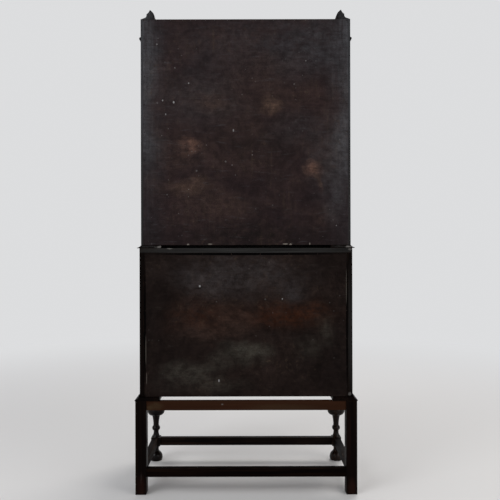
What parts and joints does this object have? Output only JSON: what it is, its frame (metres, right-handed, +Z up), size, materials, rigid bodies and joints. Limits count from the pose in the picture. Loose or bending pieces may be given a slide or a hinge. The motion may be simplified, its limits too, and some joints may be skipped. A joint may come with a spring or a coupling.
{
  "type": "bureau bookcase",
  "caption": "Tall dark oak bureau bookcase: leaded glazed doors over a sloping fall desk with long drawers, on a stand with turned front legs and stretchers.",
  "frame": {"origin": "on the floor, under the middle of the object's bounding box", "axes": "+Z up, -Y towards the front with the doors and drawers, +X to the right as seen from the front"},
  "size_m": [0.974, 0.479, 2.059],
  "materials": {
    "oak_dark": "near-black stained oak, waxed, with worn edges",
    "panel_stained": "thin back board with a dull, patchy dark stain",
    "rail_brown": "reddish brown unstained rail",
    "oak_lining": "plain oak, unstained, inside the carcase and drawers",
    "brass_aged": "aged brass, dull in the hollows",
    "glass_clear": "old clear sheet glass",
    "lead_dull": "grey lead strip",
    "leather_green": "dark green writing leather"
  },
  "bodies": {
    "flap": {"flap_panel": "oak_dark", "flap_leather": "leather_green", "flap_brass": "brass_aged"},
    "loper_left": {"loper_left": "oak_dark"},
    "loper_right": {"loper_right": "oak_dark"},
    "upper_drawer": {"upper_drawer_front": "oak_dark", "upper_drawer_box": "oak_lining", "upper_drawer_handle_plates": "brass_aged"},
    "lower_drawer": {"lower_drawer_front": "oak_dark", "lower_drawer_box": "oak_lining", "lower_drawer_handle_plates": "brass_aged"},
    "upper_drop_left": {"upper_drawer_drop_left": "brass_aged"},
    "upper_drop_right": {"upper_drawer_drop_right": "brass_aged"},
    "lower_drop_left": {"lower_drawer_drop_left": "brass_aged"},
    "lower_drop_right": {"lower_drawer_drop_right": "brass_aged"},
    "inner_drawer_left": {"inner_drawer_left": "oak_dark"},
    "inner_drawer_right": {"inner_drawer_right": "oak_dark"},
    "door_left": {"door_left_frame": "oak_dark", "door_left_glass": "glass_clear", "door_left_lead": "lead_dull", "door_left_brass": "brass_aged"},
    "door_right": {"door_right_frame": "oak_dark", "door_right_glass": "glass_clear", "door_right_lead": "lead_dull", "door_right_brass": "brass_aged"},
    "carcase": {"stand_back_leg_left": "oak_dark", "stand_back_leg_right": "oak_dark", "stand_front_leg_left": "oak_dark", "stand_front_leg_right": "oak_dark", "stand_side_rails": "oak_dark", "stand_front_apron": "oak_dark", "stand_top_frame": "oak_dark", "stretcher_front": "oak_dark", "stretcher_back": "oak_dark", "stretcher_sides": "oak_dark", "bureau_side_left": "oak_dark", "bureau_side_right": "oak_dark", "bureau_top": "oak_dark", "drawer_rail": "oak_dark", "waist_frame": "oak_dark", "bookcase_side_left": "oak_dark", "bookcase_side_right": "oak_dark", "cornice": "oak_dark", "bead_moulding": "oak_dark", "frieze": "oak_dark", "writing_bed": "oak_dark", "pigeonhole_boards": "oak_dark", "pigeonhole_dividers": "oak_dark", "shelves": "oak_dark", "bookcase_bottom": "oak_dark", "bookcase_top": "oak_dark", "bookcase_back_panel": "panel_stained", "bureau_back_panel": "panel_stained", "stand_back_rail": "rail_brown", "bureau_bottom": "oak_lining", "drawer_runners": "oak_lining", "loper_partitions": "oak_lining", "flap_hinge_fixed_leaves": "brass_aged", "door_hinge_fixed_leaves": "brass_aged", "shelf_pegs": "brass_aged"}
  },
  "joints": [
    {"name": "flap_fall", "type": "hinge", "parent": "carcase", "child": "flap", "pos_m": [0, -0.2055, 0.747], "axis": [1, 0, 0], "range_deg": [0, 116.56]},
    {"name": "door_left_swing", "type": "hinge", "parent": "carcase", "child": "door_left", "pos_m": [-0.428, -0.0375, 1.5], "axis": [0, 0, -1], "range_deg": [0, 110]},
    {"name": "door_right_swing", "type": "hinge", "parent": "carcase", "child": "door_right", "pos_m": [0.428, -0.0375, 1.5], "axis": [0, 0, 1], "range_deg": [0, 110]},
    {"name": "loper_left_slide", "type": "slide", "parent": "carcase", "child": "loper_left", "axis": [0, -1, 0], "range_m": [0, 0.23]},
    {"name": "loper_right_slide", "type": "slide", "parent": "carcase", "child": "loper_right", "axis": [0, -1, 0], "range_m": [0, 0.23]},
    {"name": "upper_drawer_slide", "type": "slide", "parent": "carcase", "child": "upper_drawer", "axis": [0, -1, 0], "range_m": [0, 0.32]},
    {"name": "lower_drawer_slide", "type": "slide", "parent": "carcase", "child": "lower_drawer", "axis": [0, -1, 0], "range_m": [0, 0.32]},
    {"name": "inner_drawer_left_slide", "type": "slide", "parent": "carcase", "child": "inner_drawer_left", "axis": [0, -1, 0], "range_m": [0, 0.13]},
    {"name": "inner_drawer_right_slide", "type": "slide", "parent": "carcase", "child": "inner_drawer_right", "axis": [0, -1, 0], "range_m": [0, 0.13]},
    {"name": "upper_drop_left_swing", "type": "hinge", "parent": "upper_drawer", "child": "upper_drop_left", "pos_m": [-0.255, -0.218, 0.6734], "axis": [-1, 0, 0], "range_deg": [0, 85]},
    {"name": "upper_drop_right_swing", "type": "hinge", "parent": "upper_drawer", "child": "upper_drop_right", "pos_m": [0.255, -0.218, 0.6734], "axis": [-1, 0, 0], "range_deg": [0, 85]},
    {"name": "lower_drop_left_swing", "type": "hinge", "parent": "lower_drawer", "child": "lower_drop_left", "pos_m": [-0.255, -0.218, 0.5174], "axis": [-1, 0, 0], "range_deg": [0, 85]},
    {"name": "lower_drop_right_swing", "type": "hinge", "parent": "lower_drawer", "child": "lower_drop_right", "pos_m": [0.255, -0.218, 0.5174], "axis": [-1, 0, 0], "range_deg": [0, 85]}
  ]
}
